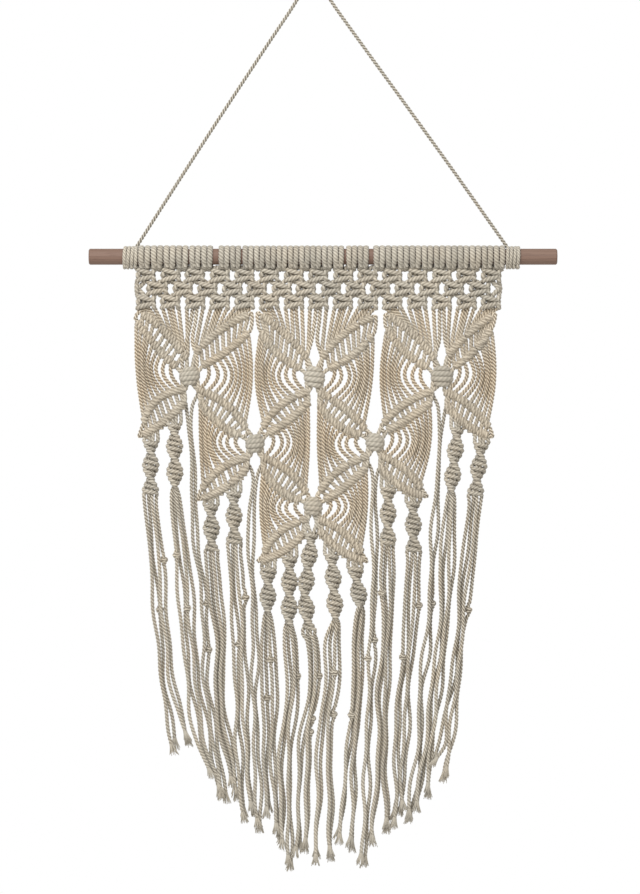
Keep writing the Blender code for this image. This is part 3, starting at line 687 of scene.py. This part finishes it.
def leaf_cord(upper, lower, t, chance):
    """One cord's way through both rows of a leaf."""
    route = []
    for row in (upper, lower):
        route += hitched(row, t + chance.uniform(-UNEVEN, UNEVEN), chance.uniform(*HITCH_SLACK))
    return route


def leaf_core(upper, lower):
    """The core cord: out along the upper row, round the tip, and back along the lower row."""
    out, back = [], []
    for t in np.linspace(0, 1, CORE_PLACES):
        for row, side in ((upper, out), (lower, back)):
            place = on_row(row, t)[0]
            side.append((place[0], 0, place[1]))
    for row, side in ((upper, out), (lower, back)):
        tip, along, _ = on_row(row, 1)
        past = tip + along * TIP_OUT
        side.append((past[0], TIP_Y, past[1]))
    return out + back[::-1]


flower_pieces = []
for number, (flower, sides) in enumerate(zip(FLOWERS, SIDES), start=1):
    cords = Cords(seed=10 + number)
    covered = [flower.name]
    top_flower = number <= TOP_FLOWERS
    middle_strand = 2 * HALF_STRANDS * (number - 1) + HALF_STRANDS
    for word, outward, side in zip(("left", "right"), (-1, 1), sides):
        upper, lower = LEAVES[side.upper], LEAVES[side.lower]
        covered += [f"web_{number}_{word}", side.lower]
        # The core cords get a painted warm bounce tint.
        if top_flower:
            covered += [f"web_{number}_top_{word}", side.upper]
            cords.lay(smooth(leaf_core(*upper), 4), LEAF_CORD, bounce_warmth=0.4)
        cords.lay(smooth(leaf_core(*lower), 4), LEAF_CORD, bounce_warmth=0.4)
        for j in range(LEAF_CORDS):
            t = (j + 0.5) / LEAF_CORDS
            route = []
            if top_flower:
                strand = middle_strand - 2 - j if outward < 0 else middle_strand + 1 + j
                route.append((band_exit(strand), 0, BAND_BOTTOM + START_RISE, 1))
                route += leaf_cord(*upper, t, cords.chance)
                leave = np.array(route[-1][:3])
            else:
                place, _, up = on_row(upper[1], 1 - t if side.turned else t)
                below = place - up * HITCH_RADIUS
                leave = np.array((below[0], 0, below[1]))
                route.append((*leave, 1))
            foot = leaf_cord(*lower, t, cords.chance)
            reach = np.array(foot[0][:3])
            bows = (*(side.inner_bow * part for part in BOW_PARTS), side.outer_bow)
            bow = outward * float(np.interp(t, BOW_PLACES, bows))
            depth = (BARE_DEPTH if j % 2 else -BARE_DEPTH) * min(1, 2 * t)
            depth += cords.chance.uniform(-BARE_SLACK, BARE_SLACK)
            for share in BARE_PLACES:
                bare = leave + (reach - leave) * share
                swell = math.sin(math.pi * share)
                route.append((bare[0] + bow * swell, bare[1] + depth * swell, bare[2], 1))
            route += foot
            end = route[-1]
            route.append((end[0], end[1], end[2] - LEAF_END, TIGHT))
            # Painted shade and a strong painted warm bounce tint between the leaves.
            cords.lay(smooth(route, 3), LEAF_CORD, bounce_warmth=0.8, shade=0.93)
    # The centre knot starts and ends in front, and moves on downwards only behind.
    wrap = []
    slant = cords.chance.uniform(-CENTRE_SLANT, CENTRE_SLANT)
    half_width, half_depth, half_height = np.subtract(
        (flower.half_width, CENTRE_HALF_DEPTH, flower.half_height), CENTRE_INSET
    )
    for step in range(ROUND_STEPS * CENTRE_WRAPS - ROUND_STEPS // 2 + 1):
        turn = 2 * math.pi * step / ROUND_STEPS
        whole = step // ROUND_STEPS
        behind = min(1.0, max(0.0, turn / math.pi - 1 - 2 * whole))
        drop = (whole + behind) / (CENTRE_WRAPS - 1)
        taper = 1 - CENTRE_TAPER * (2 * drop - 1) ** 2
        arch = max(0, math.sin(turn))  # the wraps bulge apart in front, by up to a millimetre
        wrap.append((
            flower.x - half_width * taper * math.cos(turn),
            -half_depth * taper * math.sin(turn),
            flower.z + (half_height + arch) * (1 - 2 * drop) + slant * math.cos(turn),
        ))
    # Painted shade and a little painted warm bounce tint on the centre knot.
    cords.lay(smooth(wrap, 3), CENTRE_CORD, bounce_warmth=0.2, shade=0.95, bold=SMOOTH)
    for outward, side in zip((-1, 1), sides):
        # The core cords go into the knot from the leaves above, and out to the leaves below.
        upper, lower = LEAVES[side.upper], LEAVES[side.lower]
        for above, below, apart, rise in (
            (upper[0], lower[0], CORE_APART, UPPER_RISE),
            (upper[1], lower[1], flower.half_width - CORE_SIDE_INSET, LOWER_RISE),
        ):
            above_ends = [on_row(above, 1 - t if side.turned else t)[0] for t in NEAR_SHARES]
            below_ends = [on_row(below, t)[0] for t in NEAR_SHARES]
            route = [(x, 0, z) for x, z in reversed(above_ends)]
            for height in (rise, 0, -rise):
                wide = apart if height else min(apart, CORE_APART_INSIDE)
                route.append((flower.x + outward * wide, 0, flower.z + flower.half_height * height))
            route += [(x, 0, z) for x, z in below_ends]
            # The core cords in the knot get a painted warm bounce tint.
            cords.lay(smooth(route, 5), LEAF_CORD, bounce_warmth=0.5, bold=TIGHT)
        if top_flower:
            start_x = band_exit(middle_strand - (1 if outward < 0 else 0))
            inner_x = flower.x + outward * INNER_ASIDE
            over_x, over_z = INNER_OVER_KNOT
            into_x, into_share = INNER_INTO_KNOT
            route = [
                (start_x, 0, BAND_BOTTOM + START_RISE),
                ((2 * start_x + inner_x) / 3, 0, BAND_BOTTOM - INNER_BELOW_BAND[0]),
                (inner_x, 0, BAND_BOTTOM - INNER_BELOW_BAND[1]),
                (flower.x + outward * over_x, 0, flower.z + flower.half_height + over_z),
                (flower.x + outward * into_x, 0, flower.z + flower.half_height * into_share),
                (flower.x + outward * INNER_IN_KNOT, 0, flower.z),
            ]
            # A painted warm bounce tint on the inner strands.
            cords.lay(smooth(route, 5), LEAF_CORD, bounce_warmth=0.4)
    flower_pieces.append((cords, flower, covered))


# ---- The plain pairs ----
# Two strands hang plain from the centre knots of four of the flowers, behind the spirals
# and down into the fringe.
HIGH_Z, MID_Z, LOW_Z, KNEE_Z = -405.0, -496.0, -533.0, -572.0
FRINGE_CORD = 3.2
LANE = 1.95  # how far a strand hangs before or behind the middle
Pair = namedtuple("Pair", "high_x mid_x low_x knee_x tip_x tip_z")
PAIRS = {
    "centre_knot_1": Pair(-88.5, -80.0, -79.5, -73.5, -66.5, -608),
    "centre_knot_3": Pair(91.5, 86.0, 81.0, 80.0, 73.0, -623),
    "centre_knot_4": Pair(-46.5, -43.5, -43.5, -43.0, -40.0, -630),
    "centre_knot_5": Pair(46.0, 45.0, 42.5, 41.5, 38.0, -656),
}
PAIR_APART = 1.5  # how far each of the two hangs from their middle
# How a pair leaves its knot: how far aside of the knot's middle, behind it, and below its foot.
PAIR_START = ((4.5, 1.5), (6.8, 3.0, 5.0), (2.2, 3.5, 17.0))
# The lower a loose strand hangs, the more it has untwisted. At this height its plies would show
# no more than a centre knot's.
UNTWISTED_Z = -700.0
FRAY_LENGTH = 10.0
FRAY_FIBRES = 22
FRAY_HALF_THICKNESS = 0.45  # of a fibre at its root, and half of that at its tip
# Painted shade on the frayed fibres, which are lit all round and would look paler than the cords.
FRAY_SHADE = 0.9
FRAY_CREST = 0.6  # a fibre is neither a crest nor a groove, so it takes part of the grooves' painted shade
FRAY_TURNED = 0.4  # how far a fibre may be turned from its even place round the strand
FRAY_SPREADS, FRAY_LENGTHS = (0.4, 1.0), (0.7, 1.0)
FRAY_DEPTH = 0.7  # how far a fibre goes to the front or the back, of what it goes aside
# A fibre starts this far out and back in the strand. Then it is this far out, with so much more
# by its spread, and this share of its length ahead.
FRAY_ROOT_OUT, FRAY_ROOT_BACK = 0.6, 2.0
FRAY_PLACES = ((0.8, 1.0, 0.4), (1.3, 2.4, 1.0))
FRAY_RINGS = 3
# A loose strand sways in waves of these lengths over 2 pi and these heights: a long one and a
# short one from side to side, and one to the front and the back.
LONG_WAVE, SHORT_WAVE, DEEP_WAVE = (15.0, 0.9), (7.5, 0.8), (21.0, 0.8)
SWAY_START, SHORT_WAVE_START = 40.0, 150.0  # the fall in which the waves reach their height
# A small overhand knot: the strand's places about the knot's middle, before KNOT_SIZE.
SMALL_KNOT = (
    (0.0, 0.0, 4.5), (-1.0, -1.6, 2.0), (1.2, -2.1, -0.6), (2.3, 0.2, 0.2), (0.6, 1.9, 1.6),
    (-2.2, 1.0, 0.6), (-1.6, -1.6, -1.2), (1.0, -1.2, -2.0), (0.0, 0.0, -4.5),
)
# Where a small overhand knot is tied in a strand, x and z.
SMALL_KNOTS = (
    (-116.6, -433.0), (-97.5, -430.0), (-115.8, -472.0), (-94.5, -470.0), (-75.0, -469.5),
    (-56.3, -464.0), (-53.3, -464.0), (-75.0, -504.0), (-58.5, -500.0), (-27.0, -510.0),
    (-16.5, -522.0), (3.8, -523.5), (15.8, -520.5), (39.0, -509.0), (56.3, -462.0),
    (76.5, -469.0), (93.4, -469.0), (114.0, -472.0), (49.5, -494.0), (64.5, -508.5),
    (-31.5, -541.0), (-6.0, -556.0), (1.5, -566.0), (20.3, -550.5), (28.5, -552.0),
)
free_knots = list(SMALL_KNOTS)
KNOT_REACH = 5.3  # how far from a small knot's place the strand that takes it may hang
KNOT_MARGIN = 12.0  # and how far from it the strand's ends have to be
KNOT_SIZE = (0.75, 0.75, 0.8)  # how much of SMALL_KNOT's size it is: aside, deep and high


def hang(route, chance):
    """A loose strand along route: it sways a little, and takes any small knot that is near."""
    path = smooth(route, 12)
    fall = route[0][2] - path[:, 2]
    long_wave, short_wave = chance.uniform(0, 2 * math.pi, 2)
    waves = [
        height * np.sin(fall / length + start)
        for (length, height), start in (
            (LONG_WAVE, long_wave), (SHORT_WAVE, short_wave), (DEEP_WAVE, short_wave)
        )
    ]
    aside = waves[0] + waves[1] * np.minimum(1, fall / SHORT_WAVE_START)
    sway = np.column_stack((aside, waves[2], fall * 0))
    path = path + sway * np.minimum(1, fall / SWAY_START)[:, None]
    for knot in list(free_knots):
        nearest = int(np.argmin(np.abs(path[:, 2] - knot[1])))
        inside = path[-1, 2] + KNOT_MARGIN < knot[1] < path[0, 2] - KNOT_MARGIN
        if inside and abs(path[nearest, 0] - knot[0]) < KNOT_REACH:
            free_knots.remove(knot)
            at = path[nearest]
            lump = np.array(SMALL_KNOT) * KNOT_SIZE + at
            before = path[path[:, 2] > lump[0, 2] + 1]
            behind = path[path[:, 2] < lump[-1, 2] - 1]
            path = np.vstack((before, smooth(lump, 6), behind))
    return path


def fray(cords, path, tone):
    """The last few millimetres of a strand, untwisted into its fibres."""
    end = path[-1]
    ahead = path[-1] - path[-6]
    ahead = ahead / np.linalg.norm(ahead)
    for fibre in range(FRAY_FIBRES):
        angle = 2 * math.pi * fibre / FRAY_FIBRES + cords.chance.uniform(0, FRAY_TURNED)
        spread = cords.chance.uniform(*FRAY_SPREADS)
        out = np.array((math.cos(angle), FRAY_DEPTH * math.sin(angle), 0))
        length = FRAY_LENGTH * cords.chance.uniform(*FRAY_LENGTHS)
        route = [end + out * FRAY_ROOT_OUT - ahead * FRAY_ROOT_BACK]
        for start_out, more_out, share in FRAY_PLACES:
            route.append(end + out * (start_out + more_out * spread) + ahead * length * share)
        path_out, along = evenly(smooth(route, 3), length / FRAY_RINGS)
        thin = np.linspace(FRAY_HALF_THICKNESS, FRAY_HALF_THICKNESS / 2, len(path_out))
        # Painted shade, part of the groove shade and a little painted warm bounce tint on each fibre.
        cords.tube(path_out, along, thin, np.ones(4), np.full(4, FRAY_CREST), along * 0, tone, 0.1)


for cords, flower, covered in flower_pieces:
    pair = PAIRS.get(flower.name)
    if pair:
        for side in (-1, 1):
            apart, lane = side * PAIR_APART, side * LANE
            foot_z = flower.z - flower.half_height
            (in_x, in_y), (past_x, past_y, past_drop), (under_x, under_y, under_drop) = PAIR_START
            route = [
                (flower.x + side * in_x, in_y, flower.z - flower.half_height / 2),
                (flower.x + side * past_x, past_y, foot_z - past_drop),
                (flower.x + side * under_x, under_y, foot_z - under_drop),
                (pair.high_x + apart, lane, HIGH_Z),
                (pair.mid_x + apart, lane, MID_Z),
                (pair.low_x + apart, lane, LOW_Z),
                (pair.knee_x + apart, lane, KNEE_Z),
                (pair.tip_x + apart, lane, pair.tip_z - apart),
            ]
            path = hang(route, cords.chance)
            bold = np.interp(path[:, 2], (UNTWISTED_Z, MID_Z), (SMOOTH, 1.0))
            # Painted shade and a little painted warm bounce tint on the pairs.
            path = cords.lay(np.column_stack((path, bold)), FRINGE_CORD, bounce_warmth=0.1, shade=0.92)
            fray(cords, path, FRAY_SHADE)
    cords.make(flower.name.replace("centre_knot", "flower"), *covered)


# ---- The sinnets and the fringe ----
# Below the leaves the strands are tied in fours into spirals of half knots: two strands cross
# in front and behind by turns, round two straight ones. Below the last half knot all four hang
# loose, and their cut ends are frayed.
Bunch = namedtuple(
    "Bunch", "name leaf top_x foot_x foot_z spread mid_x low_x knee_x tip_x tip_z tip2_x tip2_z"
)
BUNCHES = (
    Bunch("sinnet_01", "leaf_1_lower_left", -121.5, -122.0, -387, 4.6,
          -112.0, -108.5, -102, -104, -579, -95, -573),
    Bunch("sinnet_02", "leaf_1_lower_left", -104.0, -103.5, -380, 4.8,
          -92.5, -89.5, -82, -77, -597, -72, -612),
    Bunch("sinnet_03", "leaf_4_lower_left", -76.5, -76.0, -429, 3.0,
          -70.0, -70.0, -65, -62, -603, -59, -614),
    Bunch("sinnet_04", "leaf_4_lower_left", -59.5, -59.0, -424, 4.4,
          -55.0, -54.0, -53, -52, -630, -47, -626),
    Bunch("sinnet_05", "leaf_6_lower_left", -33.5, -34.0, -474, 4.8,
          -33.5, -32.5, -33, -33, -626, -28, -642),
    Bunch("sinnet_06", "leaf_6_lower_left", -17.5, -18.0, -484, 4.2,
          -17.0, -15.5, -20, -23, -650, -18, -666),
    Bunch("sinnet_07", None, -0.8, -3.0, -488, 3.6,
          -1.0, 0.5, -6, -11, -656, -5, -653),
    Bunch("sinnet_08", "leaf_6_lower_right", 14.0, 17.0, -479, 5.0,
          14.5, 13.5, 9, 3, -661, 13, -659),
    Bunch("sinnet_09", "leaf_6_lower_right", 31.5, 35.5, -470, 3.2,
          34.0, 32.5, 30, 20, -646, 28, -652),
    Bunch("sinnet_10", "leaf_5_lower_right", 56.5, 56.0, -425, 3.4,
          55.5, 52.5, 52, 46, -647, 54, -638),
    Bunch("sinnet_11", "leaf_5_lower_right", 75.0, 75.5, -430, 4.4,
          72.5, 68.0, 66.5, 62, -634, 66, -625),
    Bunch("sinnet_12", "leaf_3_lower_right", 108.5, 103.5, -384, 3.3,
          97.0, 92.0, 87.0, 79, -622, 86, -612),
    Bunch("sinnet_13", "leaf_3_lower_right", 126.5, 121.5, -388, 3.2,
          110.0, 105.5, 101.5, 93, -589, 99, -600),
)
SLOTS = (-1, -1 / 3, 1 / 3, 1)  # how the four strands of a bunch lie, from left to right
TOP_HALF_WIDTH = 4.6  # of a bunch as it leaves its leaf
LEAF_GRIP = (1.5, -0.5)  # how far above and below the leaf's edge a strand starts
NECK = 3.0  # from there down to the first half knot
# The middle spiral's strands leave the lowest centre knot, part round a small gap and join.
SPLIT_TOP_Z, SPLIT_Z, JOIN_Z = -400.5, -407.5, -415.5
SPLIT_TOP_HALF_WIDTH, SPLIT_HALF_WIDTH, SPLIT_GAP = 2.4, 2.0, 2.8
HALF_KNOT = 4.3  # the height of one half knot
HALF_TURN = 19.5  # the height in which the spiral turns halfway
KINK_NAME, KINK_X, KINK_Z = "sinnet_07", -6.2, -462.0  # the one spiral that hangs crooked
FACE_SLACK = 0.5  # how far a spiral may start turned to one side
WORKER_HALF_WIDTH, WORKER_HALF_DEPTH = 5.3, 1.8
WORKER_STEPS = 8  # places on a worker's way through one half knot
WORKER_LEVEL = 0.4  # how nearly level it crosses
FILLER_APART = 1.25
# A strand's places below the spiral: where it comes out, a point on the way to MID_Z if that
# is far, and how much higher than the bunch's own tip an inner strand may end.
OUT_HALF_WIDTH, OUT_DROP = 4.0, 4.0
FAR_FALL, FAR_SHARE = 40.0, 0.35
KNEE_MARGIN = 15.0  # a strand that ends less than this below its knee has none
TIP_STAGGER = 6.0
FRAY_START = 0.6  # how much of the frayed length lies past the strand's own end


def spiral_middle(bunch, top_z, z):
    """Where the middle of a spiral is at height z."""
    if bunch.name == KINK_NAME:
        if z > KINK_Z:
            return bunch.top_x + (KINK_X - bunch.top_x) * (top_z - z) / (top_z - KINK_Z)
        return KINK_X + (bunch.foot_x - KINK_X) * (KINK_Z - z) / (KINK_Z - bunch.foot_z)
    return bunch.top_x + (bunch.foot_x - bunch.top_x) * (top_z - z) / (top_z - bunch.foot_z)


def under_leaf(leaf, x):
    """The height of the lower edge of a leaf at x."""
    row = LEAVES[leaf][1]
    t = (x - row.root_x) / (row.tip_x - row.root_x)
    place, _, up = on_row(row, min(1, max(0, t)))
    return place[1] - HITCH_RADIUS


for number, bunch in enumerate(BUNCHES):
    cords = Cords(seed=40 + number)
    if bunch.leaf:
        edge = [bunch.top_x + slot * TOP_HALF_WIDTH for slot in SLOTS]
        starts = [[(x, 0, under_leaf(bunch.leaf, x) + rise) for rise in LEAF_GRIP] for x in edge]
        top_z = min(start[1][2] for start in starts) - NECK
    else:
        starts = [
            [(bunch.top_x + slot * SPLIT_TOP_HALF_WIDTH, 0, SPLIT_TOP_Z),
             (bunch.top_x + slot * SPLIT_HALF_WIDTH + math.copysign(SPLIT_GAP, slot), 0, SPLIT_Z)]
            for slot in SLOTS
        ]
        top_z = JOIN_Z
    half_knots = round((top_z - bunch.foot_z) / HALF_KNOT)
    pitch = (top_z - bunch.foot_z) / half_knots
    face = cords.chance.uniform(-FACE_SLACK, FACE_SLACK)

    def placed(wide, deep, z):
        """A place in the flat knot, turned with the spiral."""
        turn = face + math.pi * (top_z - z) / HALF_TURN
        return (
            spiral_middle(bunch, top_z, z) + wide * math.cos(turn) - deep * math.sin(turn),
            wide * math.sin(turn) + deep * math.cos(turn),
            z,
        )

    routes = []
    for side in (-1, 1):
        route = []
        for step in range(WORKER_STEPS * half_knots + 1):
            phase = math.pi * step / WORKER_STEPS
            drop = (phase + WORKER_LEVEL * math.sin(2 * phase)) * pitch / math.pi
            route.append(placed(
                side * WORKER_HALF_WIDTH * math.cos(phase),
                side * WORKER_HALF_DEPTH * math.sin(phase),
                top_z - drop,
            ))
        routes.append(route)
    for side in (-1, 1):
        count = 2 * half_knots
        routes.append([
            placed(side * FILLER_APART, 0, top_z + (bunch.foot_z - top_z) * step / count)
            for step in range(count + 1)
        ])
    # The outermost strand at the top is the one that starts furthest that way.
    by_top = sorted(routes, key=lambda route: route[0][0])
    by_foot = sorted(routes, key=lambda route: route[-1][0])
    for route, start in zip(by_top, starts):
        order = by_foot.index(route)
        slot = SLOTS[order]
        lane = LANE if order % 2 else -LANE
        if slot < 0:
            tip_x, tip_z = bunch.tip_x + slot, bunch.tip_z + TIP_STAGGER * (1 + slot)
        else:
            tip_x, tip_z = bunch.tip2_x + slot, bunch.tip2_z + TIP_STAGGER * (1 - slot)
        last = route[-1]
        out_x = bunch.foot_x + slot * OUT_HALF_WIDTH
        loose = [last, ((last[0] + out_x) / 2, (last[1] + lane) / 2, bunch.foot_z - OUT_DROP)]
        if bunch.foot_z - MID_Z > FAR_FALL:
            far_x = bunch.foot_x + slot * TOP_HALF_WIDTH
            loose.append((
                far_x + (bunch.mid_x - bunch.foot_x) * FAR_SHARE,
                lane,
                bunch.foot_z + (MID_Z - bunch.foot_z) * FAR_SHARE,
            ))
        loose.append((bunch.mid_x + slot * bunch.spread, lane, MID_Z))
        loose.append((bunch.low_x + slot * bunch.spread, lane, LOW_Z))
        if tip_z < KNEE_Z - KNEE_MARGIN:
            loose.append((bunch.knee_x + slot * bunch.spread, lane, KNEE_Z))
        loose.append((tip_x, lane, tip_z + FRAY_LENGTH * FRAY_START))
        worked = smooth([*start, *route], 3)
        fall = hang(loose, cords.chance)
        path = np.vstack((worked, fall[1:]))
        bold = np.interp(path[:, 2], (UNTWISTED_Z, MID_Z), (SMOOTH, 1.0))
        bold[:len(worked)] = TIGHT
        # Painted shade and a little painted warm bounce tint on the spirals and the fringe.
        path = cords.lay(np.column_stack((path, bold)), FRINGE_CORD, bounce_warmth=0.2, shade=0.92)
        fray(cords, path, FRAY_SHADE)
    cords.make(bunch.name + "_cords", bunch.name)
